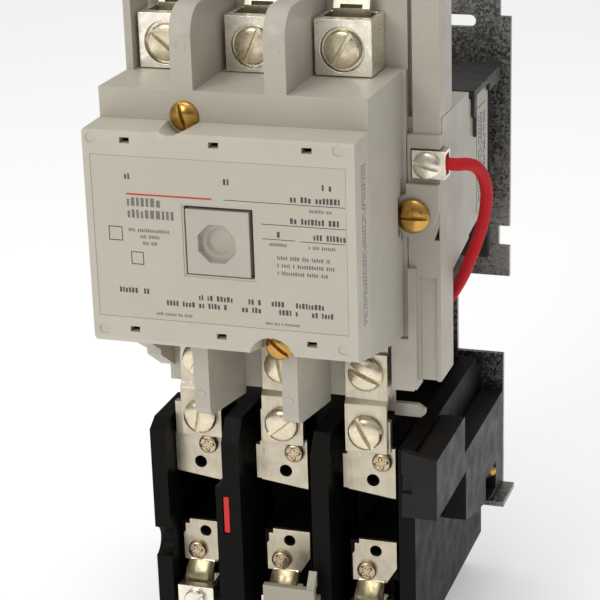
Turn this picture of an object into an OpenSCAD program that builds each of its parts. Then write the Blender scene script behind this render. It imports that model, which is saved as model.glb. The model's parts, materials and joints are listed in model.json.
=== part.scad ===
// Magnetic motor starter: a three-pole contactor with a thermal overload relay
// below it, both on one sheet-steel mounting plate.
// X is right, -Y is the front, Z is up. The plate's back face is y = 0, and the
// centre of its four mounting holes is the origin.

/* [Mounting plate] */
// Thickness of the sheet steel
plate_t = 2; // [1.6:0.1:2.4]
// Half of the distance between the mounting holes, sideways
mount_x = 35; // [33:0.5:37]
// Half of the distance between the mounting holes, up and down
mount_z = 120; // [119.5:0.5:121]
// Radius of a mounting hole
mount_r = 2.75; // [2.2:0.05:3.2]

/* [Poles] */
// Distance from one pole to the next
pole_pitch = 29.2; // [29:0.1:29.4]
// Sideways place of the middle pole
pole_mid = -1.2; // [-1.4:0.1:-1]

/* [Contactor] */
// Width of the arc box and the front cover
cover_w = 86.5; // [86:0.1:87]
// Height of the flat front face
face_h = 67.5; // [67:0.1:68]
// Distance of the front face from the back of the plate
cover_depth = 138; // [137.8:0.1:138.4]
// Distance of the arc box's front ledge from the back of the plate
ledge_depth = 123.5; // [123.3:0.1:123.7]
// Width of the moulded base
base_w = 111; // [110.8:0.1:111.4]
// Travel of the crossbar from open to closed
crossbar_travel = 6.5; // [5:0.1:6.5]
// Width of a line terminal lug
lug_w = 18.5; // [18.3:0.1:18.7]

/* [Overload relay] */
// Distance of the dividing walls' fronts from the back of the plate
relay_depth = 97; // [96:0.1:98]
// Distance from one heater to the next
relay_pitch = 30.9; // [30.8:0.1:31]
// Travel of the reset lever
reset_travel = 3.2; // [2.8:0.1:3.2]

/* [Wire] */
// Diameter of the red control wire
wire_d = 4.1; // [3.6:0.1:4.3]

/* [Hidden] */
$fn = 48;

// Shared places. Heights below are counted from the lower edge of the front face,
// and on_plate() lifts each piece so that the mounting holes are centred on z = 0.
lift = 8;
half_w = cover_w / 2;
base_half = base_w / 2;
wall_x = [-15.5, 14.5];   // middles of the two inner barriers
face_y = -cover_depth;
ledge_y = -ledge_depth;
deck_y = -86;         // front of the base's contact deck
top_z = 77.4;         // floor under the line lugs
barrier_top = 103;
magnet_z = 34;        // height of the magnet's centre line
core_y = -38;         // front of the core's pole faces
gap = 0.3;            // air between parts that move past each other
armature_y = core_y - crossbar_travel - gap;
window_x = [-11.3, 10.9];
window_z = [23.3, 45.4];
fixed_pad_y = -90;    // front of the fixed contact pads
contact_travel = 0.8 * crossbar_travel;
bridge_y = fixed_pad_y - contact_travel - gap - 1.6;
relay_y = -relay_depth;
relay_bottom = -121;
relay_mid = 0.9;      // sideways place of the middle heater
relay_walls = [[-44.4, -38.7], [-18.6, -12.4], [13, 19.2], [43.4, 49]];
relay_wall_top = [-48.8, -51.4, -52.5, -46.7];  // at the front edge
relay_wall_rise = [3, 8, 7, 0];                // from there up to the rear
upper_screw = [3.95, -55.5];   // places on the heater plates, from relay_x
upper_hole = [0.5, -62.8];
lower_screw = [-2.1, -96.6];
lower_hole = [1, -89.2];
link_screw_z = -44.4;
relay_split = -39.2;  // where the relay's front and rear shells meet
relay_room_x = [-38.5, 43.2];
lug_screw_z = -112;    // clamping screws of the load lugs
lug_screw_top = 86;    // clamping screws of the line lugs
pivot_x = 52;         // pin that the trip lever turns on
pivot_z = -73;
seat_y = -87;         // face that the heater plates lie on
terminal_x = 51.5;    // coil terminals
terminal_z = 47.6;
clear = 0.05;         // running clearance of a pin in its hole

// Centre line of the red wire, from the coil terminal to the back of the relay
wire_path = [
    [53.8, -83.75, 47.6], [56, -83.75, 47.6], [60, -83.4, 47.4], [63, -81, 47],
    [65, -77, 45], [66.2, -73, 41], [66.5, -69.6, 36], [66, -67.6, 30],
    [64.6, -66.6, 23], [62.4, -66.2, 16], [59.8, -65.6, 9], [56, -62, 1],
    [51, -58, -7], [45, -53, -14.5], [37.5, -44, -24], [31, -32, -34],
    [27.4, -20, -42.4], [26.2, -13.4, -48], [26, -12, -53]
];

function relay_x(i) = relay_mid + (i - 2) * relay_pitch;
function pole_x(i) = pole_mid + (i - 2) * pole_pitch;
function link_x(i) = pole_x(i) + 2.8;
function unit(v) = v / norm(v);

// ---------- shared shapes ----------

// Moves a piece from heights above the face's lower edge to heights on the plate
module on_plate() {
    translate([0, 0, lift]) children();
}

// A box given by its low and high x, y and z
module box(x, y, z) {
    translate([x[0], y[0], z[0]]) cube([x[1] - x[0], y[1] - y[0], z[1] - z[0]]);
}

// An outline in (y, z), pushed along X
module slab_x(points, x) {
    translate([x[0], 0, 0]) rotate([90, 0, 90]) linear_extrude(x[1] - x[0]) polygon(points);
}

// An outline in (x, z), pushed along Y
module slab_y(points, y) {
    translate([0, y[1], 0]) rotate([90, 0, 0]) linear_extrude(y[1] - y[0]) polygon(points);
}

// A round rod along Y
module rod_y(x, z, y, r) {
    translate([x, y[0], z]) rotate([-90, 0, 0]) cylinder(r = r, h = y[1] - y[0]);
}

// A round rod along X
module rod_x(y, z, x, r) {
    translate([x[0], y, z]) rotate([0, 90, 0]) cylinder(r = r, h = x[1] - x[0]);
}

// A round rod along Z
module rod_z(x, y, z, r) {
    translate([x, y, z[0]]) cylinder(r = r, h = z[1] - z[0]);
}

// A pan-head machine screw facing the front, with one slot turned by an angle
module slotted_screw(x, z, y, head_r, head_h, shank_r, shank, angle) {
    translate([x, y, z]) rotate([90, 0, 0]) {
        difference() {
            union() {
                cylinder(r = head_r, h = head_h * 0.65);
                translate([0, 0, head_h * 0.65])
                    cylinder(r1 = head_r, r2 = head_r * 0.8, h = head_h * 0.35);
            }
            rotate([0, 0, angle]) translate([-head_r - 1, -0.75, head_h * 0.5])
                cube([2 * head_r + 2, 1.5, head_h]);
        }
        translate([0, 0, -shank]) cylinder(r = shank_r, h = shank);
    }
}

// A pan-head machine screw facing the front, with a cross recess
module cross_screw(x, z, y, head_r, head_h, shank_r, shank) {
    translate([x, y, z]) rotate([90, 0, 0]) {
        difference() {
            cylinder(r = head_r, h = head_h);
            for (a = [20, 110]) rotate([0, 0, a])
                translate([-head_r * 0.55, -0.5, head_h * 0.4]) cube([head_r * 1.1, 1, head_h]);
        }
        translate([0, 0, -shank]) cylinder(r = shank_r, h = shank);
    }
}

// Directions of a path at its points, by neighbours
function path_dir(p, i) = unit(p[min(i + 1, len(p) - 1)] - p[max(i - 1, 0)]);

// A round tube swept along points; side is a vector that is never along the path
module sweep(p, r, side, sides = 8) {
    n = len(p);
    rings = [
        for (i = [0 : n - 1])
            let (d = path_dir(p, i), u = unit(cross(d, side)), v = cross(d, u))
            for (k = [0 : sides - 1]) p[i] + r * (cos(360 * k / sides) * u + sin(360 * k / sides) * v)
    ];
    walls = [
        for (i = [0 : n - 2]) for (k = [0 : sides - 1])
            let (a = i * sides + k, b = i * sides + (k + 1) % sides)
            [a, b, b + sides, a + sides]
    ];
    near = [for (k = [sides - 1 : -1 : 0]) k];
    far = [for (k = [0 : sides - 1]) (n - 1) * sides + k];
    polyhedron(points = rings, faces = concat(walls, [near, far]), convexity = 6);
}

// Points of a coil spring along Y
function coil_points(x, z, y, r, turns, steps = 12) = [
    for (i = [0 : turns * steps])
        let (a = 360 * i / steps, along = (y[1] - y[0]) * i / (turns * steps))
            [x + r * cos(a), y[0] + along, z + r * sin(a)]
];

// ---------- plate and magnet ----------

module mounting_plate() {
    right = [
        [55.5, mount_z - lift + 8], [55.5, 77.7], [59.3, 77.7], [59.3, 1.6], [55.4, 1.6], [55.4, -5.9],
        [59.3, -5.9], [59.3, -17.4], [40, -17.4], [40, -47.7], [57.2, -47.7],
        [57.2, -101.5], [42, -101.5], [42, -mount_z - lift - 8]
    ];
    left = [for (i = [len(right) - 1 : -1 : 0]) [-right[i][0], right[i][1]]];
    slot_x = [26, 44.8];
    slot_z = 75.8;
    slot_r = 2.1;
    color("silver") on_plate() {
        difference() {
            slab_y(concat(right, left), [-plate_t, 0]);
            for (x = [-mount_x, mount_x], z = [-mount_z, mount_z])
                rod_y(x, z - lift, [-plate_t - 1, 1], mount_r);
            for (s = [-1, 1]) {
                for (x = slot_x) rod_y(s * x, slot_z, [-plate_t - 1, 1], slot_r);
                box([min(s * slot_x[0], s * slot_x[1]), max(s * slot_x[0], s * slot_x[1])],
                    [-plate_t - 1, 1], [slot_z - slot_r, slot_z + slot_r]);
            }
        }
        // feet bent forward under the relay
        box([49.2, 61.4], [-19, -plate_t / 2], [-101.5, -99.5]);
        box([-61.4, -49.2], [-19, -plate_t / 2], [-101.5, -99.5]);
    }
}

module magnet_frame() {
    web_y = [-plate_t - 2.5, -plate_t];
    shelf_z = [59, 61.5];
    color("dimgray") on_plate() {
        box([-52, 52], web_y, [-10, 61.5]);
        box([-56.5, 56.5], [-44, web_y[1]], shelf_z);
        box([-34, 34], [-30, web_y[1]], [-11, -8.5]);
        for (x = [[-56.5, -55.5], [55.5, 56.5]]) {
            box(x, [-44, -40], [52, 61.5]);
            box(x, [-42, -40], [45, 61.5]);
            box(x, [-22, -4.5], [56, 61.5]);
        }
    }
}

// An E shape lying in X-Y: a bar and three legs, each given by its low and high y
module e_stack(bar, legs, height) {
    z = [magnet_z - height / 2, magnet_z + height / 2];
    box([pole_mid - 32, pole_mid + 32], bar, z);
    for (leg = [[-32, -22], [-9, 9], [22, 32]])
        box([pole_mid + leg[0], pole_mid + leg[1]], legs, z);
}

module magnet_core() {
    color("slategray") on_plate() difference() {
        e_stack([-16, -plate_t - 2.5], [core_y, -15], 22);
        for (x = [-27, 27]) rod_z(pole_mid + x, -10.5, [magnet_z - 20, magnet_z + 20], 2);
    }
}

module shading_rings() {
    ring_y = [core_y + 0.6, core_y + 2.2];
    color("peru") on_plate() for (x = [pole_mid - 27, pole_mid + 27]) difference() {
        box([x - 6.1, x + 6.1], ring_y, [magnet_z - 12.1, magnet_z + 12.1]);
        box([x - 5, x + 5], [ring_y[0] - 1, ring_y[1] + 1], [magnet_z - 11, magnet_z + 11]);
    }
}

bobbin_y = [-36.5, -16.3];
bobbin_core = [9.3, 11.3];
bobbin_tube = [10.6, 12.6];
bobbin_flange = [20.4, 22.4];

module coil_block(half, y) {
    box([pole_mid - half[0], pole_mid + half[0]], y, [magnet_z - half[1], magnet_z + half[1]]);
}

module coil_bobbin() {
    color("ivory") on_plate() difference() {
        union() {
            coil_block(bobbin_tube, bobbin_y);
            coil_block(bobbin_flange, [bobbin_y[0], bobbin_y[0] + 1.5]);
            coil_block(bobbin_flange, [bobbin_y[1] - 1.5, bobbin_y[1]]);
        }
        coil_block(bobbin_core, [bobbin_y[0] - 1, bobbin_y[1] + 1]);
    }
}

module coil_winding() {
    color("chocolate") on_plate() difference() {
        coil_block([19.4, 21.4], [bobbin_y[0] + 1.5, bobbin_y[1] - 1.5]);
        coil_block(bobbin_tube, [bobbin_y[0], bobbin_y[1]]);
    }
}

module magnet_housing() {
    side = [[-47.7, 58.7], [-19, 58.7], [-19, 15.6], [-47.7, 11.8]];
    color("lightgray") on_plate() difference() {
        union() {
            slab_x(side, [-55.2, 55.2]);
            box([-38, 38], [-47.7, -19], [7, 58.7]);
        }
        box([-35, 34], [-49, -18], [10, 57]);
        for (x = [[-52.8, -40], [40, 52.8]]) box(x, [-45, -18], [18, 56]);
    }
}

module coil_label() {
    color("white") on_plate() box([55.2, 55.45], [-36, -23], [16.5, 53]);
}

module armature() {
    color("slategray") on_plate() difference() {
        e_stack([armature_y - 10, armature_y - 3.2], [armature_y - 3.3, armature_y], 22);
        rod_z(pole_mid, armature_y - 6.8, [magnet_z - 20, magnet_z + 20], 2 + clear);
    }
}

module armature_pin() {
    color("silver") on_plate() rod_z(pole_mid, armature_y - 6.8, [magnet_z - 14, magnet_z + 14], 2);
}

// ---------- crossbar and contacts ----------

beam_front = bridge_y - 2 - 10 - 3;
beam_rear = bridge_y + 1.9;
beam_z = [magnet_z - 7, magnet_z + 7];
bridge_z = [18, 50];
pad_r = 3.2;
cheek_x = [pole_mid - 7.5, pole_mid + 7.5];

module crossbar() {
    block_x = [-10.9, 9.5];
    block_z = [23.6, 44.3];
    block_y = face_y + 0.6;
    color("gainsboro") on_plate() difference() {
        union() {
            // cheeks over and under the armature
            for (z = [[magnet_z - 14, magnet_z - 11 - gap], [magnet_z + 11 + gap, magnet_z + 14]])
                box(cheek_x, [armature_y - 14, armature_y - 1.5], z);
            box(cheek_x, [armature_y - 19, armature_y - 14], [magnet_z - 14, magnet_z + 14]);
            // stem, beam and the square block that shows in the window
            box([pole_mid - 6, pole_mid + 6], [beam_rear - 1, armature_y - 18],
                [magnet_z - 8, magnet_z + 8]);
            box([-40, 39], [beam_front, beam_rear], beam_z);
            box(block_x, [block_y, beam_front + 1], block_z);
        }
        rod_z(pole_mid, armature_y - 6.8, [magnet_z - 20, magnet_z + 20], 2);
        for (i = [1 : 3])
            box([pole_x(i) - 4.3, pole_x(i) + 4.3], [beam_front + 3, bridge_y + gap], [0, 70]);
        translate([-1.1, block_y - 0.1, 33.6]) rotate([-90, 22.5, 0]) cylinder(r = 6.6, h = 2.6, $fn = 8);
        translate([-1.1, block_y + 2, 33.6]) rotate([-90, 0, 0]) cylinder(r1 = 5, r2 = 3.6, h = 2);
    }
}

module moving_contact(i) {
    x = pole_x(i);
    color("peru") on_plate() {
        box([x - 4, x + 4], [bridge_y - 2, bridge_y], bridge_z);
        for (z = [bridge_z[0] + 3.4, bridge_z[1] - 3.4])
            rod_y(x, z, [bridge_y - 0.5, bridge_y + 1.6], pad_r);
    }
}

module contact_springs() {
    color("silver") on_plate() for (i = [1 : 3])
        sweep(coil_points(pole_x(i), magnet_z, [bridge_y - 11.4, bridge_y - 2.7], 2.8, 5),
            0.45, [0, 1, 0], 12);
}

module return_springs() {
    color("silver") on_plate() for (x = wall_x)
        sweep(coil_points(x, magnet_z, [beam_rear + 0.7, -69.2], 3.4, 6), 0.5, [0, 1, 0], 12);
}

// ---------- contactor mouldings ----------

module contactor_base() {
    wing = [[deck_y + 3, 62], [-48, 62], [-48, 11.6], [-70, 7.8], [-83, 7.8]];
    tower_x = [44.8, base_half];
    color("lightgray") on_plate() difference() {
        union() {
            slab_x(wing, [-base_half, base_half]);
            // contact deck, running down behind the load straps
            box([-44.5, 44.5], [deck_y, -77], [-12, top_z]);
            box([-40, 38], [deck_y, -79], [-34, -11]);
            // block behind the line lugs, and the tall pillar beside it
            box([-44.5, 44.5], [-83, -68], [60, 100]);
            box([46.4, 55.2], [-85, -69.5], [56, 106]);
            box([43, 47], [-80, -69.5], [60, 98]);
            // right-hand tower with its terminal seat, boss and foot
            box(tower_x, [deck_y, -70], [-26, 57]);
            box([39, 46.6], [deck_y - 1.6, -70], [-29.6, -11.5]);
            box([44.8, 47.6], [deck_y - 1.6, -80], [-29, 13]);
            rod_y(47.2, 31.2, [deck_y - 2.4, -80], 7.3);
            slab_y([[47.2, 24], [53, 26.5], [base_half, 33], [base_half, 41.5], [44.8, 41.5], [44.8, 35]],
                [deck_y - 2.4, -80]);
            // left-hand boss, its mirror image
            rod_y(-47.2, 31.2, [deck_y - 2.4, -80], 7.3);
            box([-base_half, -44.8], [deck_y, -80], [14, 57]);
            // bosses around the return springs
            for (x = wall_x) rod_y(x, magnet_z, [-78, -66], 6);
            // tab under the deck
            slab_y([[28, -33], [38, -33], [38, -37], [46, -37], [48.5, -38.6], [48.5, -40.3],
                [47, -41.5], [38, -41.5], [38, -40.2], [28, -40.2]], [-81, -79]);
        }
        // room for the armature, open at the back
        difference() {
            box([-36, 35], [-77, -47], [14, 57]);
            for (x = wall_x) rod_y(x, magnet_z, [-79, -66], 6);
        }
        box([pole_mid - 9, pole_mid + 9], [-78, -60], [magnet_z - 15.5, magnet_z + 15.5]);
        // window for the crossbar's stem, and pockets for its springs
        box([pole_mid - 6.3, pole_mid + 6.3], [deck_y - 1, -76], [magnet_z - 8.3, magnet_z + 8.3]);
        for (x = wall_x) rod_y(x, magnet_z, [deck_y - 1, -68.5], 4.3);
        // pockets in the two wings
        for (x = [[-52.8, -39], [39, 52.8]]) box(x, [-66, -47], [16, 58]);
        // seats of the coil terminals, open to the outside
        for (x = [[45.9, base_half + 1], [-base_half - 1, -45.9]])
            box(x, [deck_y - 3, -80.5], [terminal_z - 5, terminal_z + 5]);
        // recessed panel of the tower
        box([48.6, base_half - 1.4], [deck_y - 1, deck_y + 1], [-27, 10]);
        // holes for screws
        for (x = [-47.2, 47.2]) rod_y(x, 31.2, [deck_y - 3, -72], 2.3);
        for (p = [[-15.1, 69.5], [13.3, -3]]) rod_y(p[0], p[1], [deck_y - 1, -76], 2.1);
        for (i = [1 : 3]) {
            rod_y(pole_x(i), 66, [deck_y - 1, -76], 2);
            rod_y(link_x(i), -24, [deck_y - 1, -78], 3);
        }
        for (x = [-terminal_x, terminal_x]) rod_y(x, terminal_z, [deck_y - 1, -72], 1.9);
        // dark slit beside the boss
        slab_y([[53.4, 22.5], [55.1, 22.5], [55.1, 27.5]], [deck_y - 1, -74]);
    }
}

// A barrier standing on the ledge, its front top edge rounded
module top_barrier(x) {
    r = 9.5;
    z_low = top_z - 1;
    box(x, [ledge_y, -86.2], [z_low, barrier_top - r]);
    box(x, [-86.3, -83.3], [top_z + gap, barrier_top - r]);
    box(x, [ledge_y + r, -83.3], [barrier_top - r - 0.5, barrier_top]);
    rod_x(ledge_y + r, barrier_top - r, x, r);
}

module arc_box() {
    back = deck_y - 0.2;
    outer = [[ledge_y, top_z], [back, top_z], [back, -10.2], [-96.5, -9.5], [ledge_y, -4]];
    lower = [[-120, -5], [back, -5], [back, -36.4], [-117.2, -31.7], [-119.2, -30.5], [-120, -28.6]];
    // stepped skirt at the lower left
    skirt = [
        [-118, -5], [-110.8, -7.5], [-107.3, -12.7], [-97.7, -18.8], [-97.7, -20.8],
        [back, -28.6], [back, -5]
    ];
    color("lightgray") on_plate() difference() {
        union() {
            slab_x(outer, [-half_w, half_w]);
            for (x = wall_x) {
                top_barrier([x - 3.5, x + 3.5]);
                slab_x(lower, [x - 2.4, x + 2.9]);
            }
            box([-half_w, -40.7], [-101, back], [top_z - 1, barrier_top]);
            slab_x(skirt, [-half_w, -38.2]);
        }
        // three arc chambers
        difference() {
            box([-half_w + 2.7, half_w - 2.7], [ledge_y + 2.5, back + 1], [-1.5, top_z - 3]);
            for (x = wall_x) box([x - 1.4, x + 1.4], [ledge_y, back + 1], [-5, top_z]);
        }
        // way for the crossbar through the chamber walls, and for its block
        box([-40.5, half_w - 2.7], [beam_front - 0.5, back + 1], [magnet_z - 8, magnet_z + 8]);
        box([-11.9, 10.5], [ledge_y - 1, beam_front + 9], [window_z[0] - 0.2, window_z[1]]);
        // ways for the load straps, out of the bottom
        for (i = [1 : 3]) box([link_x(i) - 8, link_x(i) + 8], [-93, back + 1], [-12, 0]);
        // ways for the line straps, up through the ledge
        for (i = [1 : 3]) box([pole_x(i) - 6.4, pole_x(i) + 6.4], [-88.4, back + 1], [70, 80]);
        // room for the bosses and holes for the cover screws
        for (x = [-47.2, 47.2]) rod_y(x, 31.2, [deck_y - 6.2, back + 1], 7.7);
        box([half_w - 0.5, half_w + 2], [deck_y - 3, back + 1], [23, 43]);
        for (p = [[-15.1, 69.5], [13.3, -3]]) rod_y(p[0], p[1], [ledge_y - 1, back + 1], 2.1);
    }
    // walls around the cover screws
    color("lightgray") on_plate() difference() {
        for (p = [[-15.1, 69.5], [13.3, -2.6]]) rod_y(p[0], p[1], [ledge_y + 1, back], 4.2);
        for (p = [[-15.1, 69.5], [13.3, -3]]) rod_y(p[0], p[1], [ledge_y - 1, back + 1], 2.1);
        for (i = [1 : 3]) box([link_x(i) - 8, link_x(i) + 8], [-93, back + 1], [-12, 0]);
    }
}

module front_cover() {
    side = [
        [face_y, 0.8], [face_y, face_h - 0.8], [face_y + 0.8, face_h], [ledge_y - 0.1, face_h + 0.3],
        [ledge_y - 0.1, -4], [-136.6, -1]
    ];
    hollow = [[face_y + 2.6, 3], [face_y + 2.6, 64], [ledge_y + 1, 64.8], [ledge_y + 1, 0]];
    slot_x = [-29.3, -0.6, 28.6];
    groove = [-15.4, 68.5];
    color("gainsboro") on_plate() difference() {
        slab_x(side, [-half_w, half_w]);
        // the hollow inside, but for the ribs under the groove and over the arch
        difference() {
            slab_x(hollow, [-half_w + 2.6, half_w - 2.6]);
            rod_y(groove[0], groove[1], [face_y, ledge_y + 2], 7.6);
            rod_y(15.4, -2.6, [face_y, ledge_y + 2], 9.6);
        }
        // window for the crossbar's block
        box(window_x, [face_y - 1, ledge_y], window_z);
        // shallow seat of the nameplate
        box([-41, 40.4], [face_y - 1, face_y + 0.4], [7.8, 60]);
        // slots of the snap hooks
        for (x = slot_x) {
            box([x - 1.6, x + 1.6], [face_y - 1, face_y + 5], [63.9, 65.7]);
            box([x - 1.6, x + 1.6], [face_y - 1, face_y + 5], [3.1, 4.9]);
        }
        // marks of the ejector pins
        for (p = [[-40.4, 65.2], [38.2, 65.3], [-39.7, 3.3], [38.6, 3.2]])
            rod_y(p[0], p[1], [face_y - 1, face_y + 0.3], 1.7);
        // shallow dish in the top edge, the screw's slanting groove, and the arch over the lower screw
        translate([-16.8, face_y - 7.5, face_h + 7.5]) sphere(r = 12);
        translate([groove[0], ledge_y + 1, groove[1] + 0.6]) rotate([79, 0, 0]) cylinder(r = 5.3, h = 24);
        rod_y(15.4, -2.6, [face_y - 1, ledge_y], 7.5);
    }
}

module nameplate() {
    color("whitesmoke") on_plate() difference() {
        box([-40.9, 40.3], [face_y + 0.1, face_y + 0.4], [7.9, 59.9]);
        box([window_x[0] - 0.6, window_x[1] + 0.6], [face_y - 1, face_y + 2],
            [window_z[0] - 0.6, window_z[1] + 0.6]);
    }
}

// ---------- power path of the contactor ----------

module line_lug(i) {
    x = pole_x(i);
    color("silver") on_plate() difference() {
        box([x - lug_w / 2, x + lug_w / 2], [-98, -83.3], [top_z + 0.3, 95.4]);
        box([x - 7.75, x + 7.75], [-93.6, -84.8], [70, 100]);
        rod_y(x - 0.3, lug_screw_top, [-99, -93], 3.9);
        rod_y(x - 0.3, lug_screw_top, [-99, -96.4], 7);
    }
}

module line_lug_screws() {
    color("silver") on_plate() for (i = [1 : 3])
        slotted_screw(pole_x(i) - 0.3, lug_screw_top, -96.9, 5.9, 2.6, 3.85, 4, [-42, 62, 58][i - 1]);
}

module line_strap(i) {
    x = pole_x(i);
    half = 5.9;
    tab = [[-88.2, 93], [-86.6, 93], [-86.2, 95], [-84.2, 102], [-85.8, 102.4], [-88.4, 97]];
    color("silver") on_plate() difference() {
        union() {
            box([x - half, x + half], [-88.2, -86.6], [43.5, 94]);
            slab_x(tab, [x - half, x + half]);
            rod_y(x, 46.6, [fixed_pad_y, -88], pad_r);
            box([x - half, x + half], [-86.7, deck_y], [60, 72]);
        }
        rod_y(x, 66, [-90, -84], 2);
        box([x - 3.6, x + 3.6], [-92, -80], [97, 98.2]);
    }
}

module line_strap_screws() {
    color("silver") on_plate() for (i = [1 : 3]) slotted_screw(pole_x(i), 66, -88.2, 3.6, 2.2, 2, 11, 30);
}

module load_straps() {
    color("silver") on_plate() for (i = [1 : 3]) difference() {
        x = link_x(i);
        union() {
            box([x - 7.2, x + 7.2], [-88, deck_y - 0.2], [-32, 24.5]);
            rod_y(pole_x(i), 21.4, [fixed_pad_y, -87.5], pad_r);
        }
        rod_y(x, -24, [-90, -84], 3);
    }
}

module link_strap(i) {
    x = link_x(i);
    side = [
        [-89.6, -17], [-88, -17], [-88, -33.6], [-89.4, -35.4], [-89.4, -52], [-91, -52],
        [-91, -34.8], [-89.6, -33]
    ];
    color("silver") on_plate() difference() {
        slab_x(side, [x - 7.25, x + 7.25]);
        rod_y(x, -24, [-92, -84], 3);
        rod_y(x, link_screw_z, [-93, -84], 3);
    }
}

module strap_screws() {
    color("silver") on_plate() for (i = [1 : 3]) {
        slotted_screw(link_x(i), -24, -89.6, 5.9, 3, 3, 11, [60, 100, 155][i - 1]);
        slotted_screw(link_x(i), link_screw_z, -91, 5.9, 3.2, 3, 10, [80, 40, 118][i - 1]);
    }
}

module brass_screws() {
    color("goldenrod") on_plate() {
        slotted_screw(-15.1, 69.5, ledge_y, 4.65, 2.7, 2.05, 46, 105);
        slotted_screw(13.3, -3, ledge_y, 4.65, 2.7, 2.05, 46, 140);
        for (x = [-47.2, 47.2]) slotted_screw(x, 31.2, deck_y - 2.4, 5.6, 3.4, 2.25, 16, 0);
    }
}

module coil_terminals() {
    color("silver") on_plate() for (s = [-1, 1]) difference() {
        x = s * (terminal_x + 0.4);
        half = 5.5;
        union() {
            box([x - half, x + half], [-81.7, -80.5], [terminal_z - 4.6, terminal_z + 4.6]);
            box([x - half, x + half], [-87, -85.8], [terminal_z - 4.6, terminal_z + 4.6]);
            for (z = [terminal_z - 4.6, terminal_z + 3.4])
                box([x - half, x + half], [-86, -81], [z, z + 1.2]);
        }
        rod_y(s * terminal_x, terminal_z, [-90, -78], 1.9);
    }
}

module coil_terminal_screws() {
    color("silver") on_plate() for (x = [-terminal_x, terminal_x])
        slotted_screw(x, terminal_z, -87, 4.4, 2.8, 1.85, 14, -14);
}

module red_wire() {
    color("red") on_plate() sweep(wire_path, wire_d / 2, [0.3, 1, 0.35], 8);
}

// ---------- overload relay ----------

module overload_base() {
    back = -plate_t - 0.2;
    shell_x = [relay_walls[0][0], relay_walls[3][1]];
    color("#262626") on_plate() difference() {
        union() {
            difference() {
                union() {
                    box(shell_x, [relay_split, back], [relay_bottom, -56]);
                    box([-44, shell_x[1]], [-16, back], [-57, -50.5]);
                    // rear ends of the dividing walls
                    for (k = [0 : 3]) box(relay_walls[k], [relay_split, -10], [-57, relay_wall_top[k]]);
                }
                // room for the bimetals and the trip bar, open to the front
                box(relay_room_x, [relay_split - 1, -16], [-118.3, -60.5]);
            }
            // step that the bimetals stand on
            box([-39, 43.7], [-38.6, -29], [-119, -112]);
        }
        // way of the trip bar's end through the right wall
        box([41, 50], [-29.4, -24.6], [-83.9, -79.6]);
        // holes for screws
        rod_y(-34, -84, [-17, 0], 2.1);
        rod_y(36, -114, [-17, 0], 2.1);
        // hole of the red wire
        rod_z(26, -12, [-55, -50], wire_d / 2 + 0.25);
    }
}

module overload_front() {
    panel_x = [-41, 46];
    color("#262626") on_plate() difference() {
        union() {
            // panel with a top and a bottom, open at the back
            box(panel_x, [-64, -61], [relay_bottom, -56]);
            box(panel_x, [-62, relay_split], [-60.5, -56]);
            box(panel_x, [-82, relay_split], [relay_bottom, -118.5]);
            // seats for the upper plates, link screws, lower plates and lugs
            for (i = [1 : 3]) {
                box([relay_x(i) - 8.4, relay_x(i) + 8.4], [seat_y, -62], [-68, -50.5]);
                box([link_x(i) - 6.6, link_x(i) + 6.6], [seat_y, -74], [-53.8, -40.6]);
                box([relay_x(i) - 8.4, relay_x(i) + 8.4], [seat_y, -62], [-100, -86.5]);
                box([relay_x(i) - 7.2, relay_x(i) + 6], [seat_y + 3, -62], [-117.5, -98]);
            }
            // guide of the reset lever's arm
            box([8.4, 16], [-80, relay_split], [-114, -100]);
            // dividing walls; the two inner ones stop at the panel, but for a rib on the top
            for (k = [0 : 3]) {
                top = relay_wall_top[k];
                rise = relay_wall_rise[k];
                foot = k == 0 || k == 3 ? relay_bottom : -57;
                slab_x([[relay_y, relay_bottom], [-62, relay_bottom], [-62, top], [-70, top],
                    [-70, top + rise], [relay_y + 5, top + rise], [relay_y, top]], relay_walls[k]);
                box(relay_walls[k], [-62.5, relay_split], [foot, top]);
            }
            // block around the trip indicator
            box([-21.4, -13], [relay_y, -70], [relay_bottom, -67.5]);
        }
        // round notch in the left wall
        rod_x(relay_y - 1, -91, [-45, -37], 5.5);
        // slot of the trip indicator
        box([-19.1, -16.4], [relay_y - 1, relay_y + 12.6], [-85.1, -70.9]);
        // way of the reset lever's arm
        box([10.1, 15.5], [relay_y - 1, -41], [-110.3, -103.7]);
        // holes for screws
        for (i = [1 : 3]) {
            rod_y(link_x(i), link_screw_z, [-95, -80], 3);
            rod_y(relay_x(i) + upper_screw[0], upper_screw[1], [-90, -70], 1.6);
            rod_y(relay_x(i) + upper_hole[0], upper_hole[1], [-90, -70], 2.2);
            rod_y(relay_x(i) + lower_screw[0], lower_screw[1], [-90, -70], 1.6);
            rod_y(relay_x(i) + lower_hole[0], lower_hole[1], [-90, -70], 2);
        }
    }
}

module trip_housing() {
    side = [
        [-100, -48.3], [-61.3, -48.3], [-61.3, -61.8], [-2.2, -61.8], [-2.2, -99.4], [-15, -99.4],
        [-30, -95], [-45, -92], [-60, -88], [-60, -69.5], [-100, -69.5]
    ];
    color("#3a3a3a") on_plate() difference() {
        union() {
            slab_x(side, [49.2, 57.3]);
            // panel over the right wall's front, with a slanting top
            slab_y([[45.4, -45.8], [57.3, -48.3], [57.3, -69.5], [45.4, -69.5]], [-100, relay_y - 0.2]);
        }
        // room of the trip lever, and the hole its pin turns in
        box([49, 55.4], [-58, -24], [-84.8, -64]);
        rod_y(pivot_x, pivot_z, [-25, -22.4], 1.2 + clear);
        box([49, 55.4], [-98, -58.5], [-67.5, -50.5]);
        // recess at the panel's left edge
        box([45, 48.9], [-101, -98.6], [-60.8, -54.2]);
        // niche and hole of the side screw
        box([52.3, 58], [-30, -14], [-96, -86]);
        rod_y(55, -89.5, [-16, -2], 1.5);
    }
}

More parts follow.
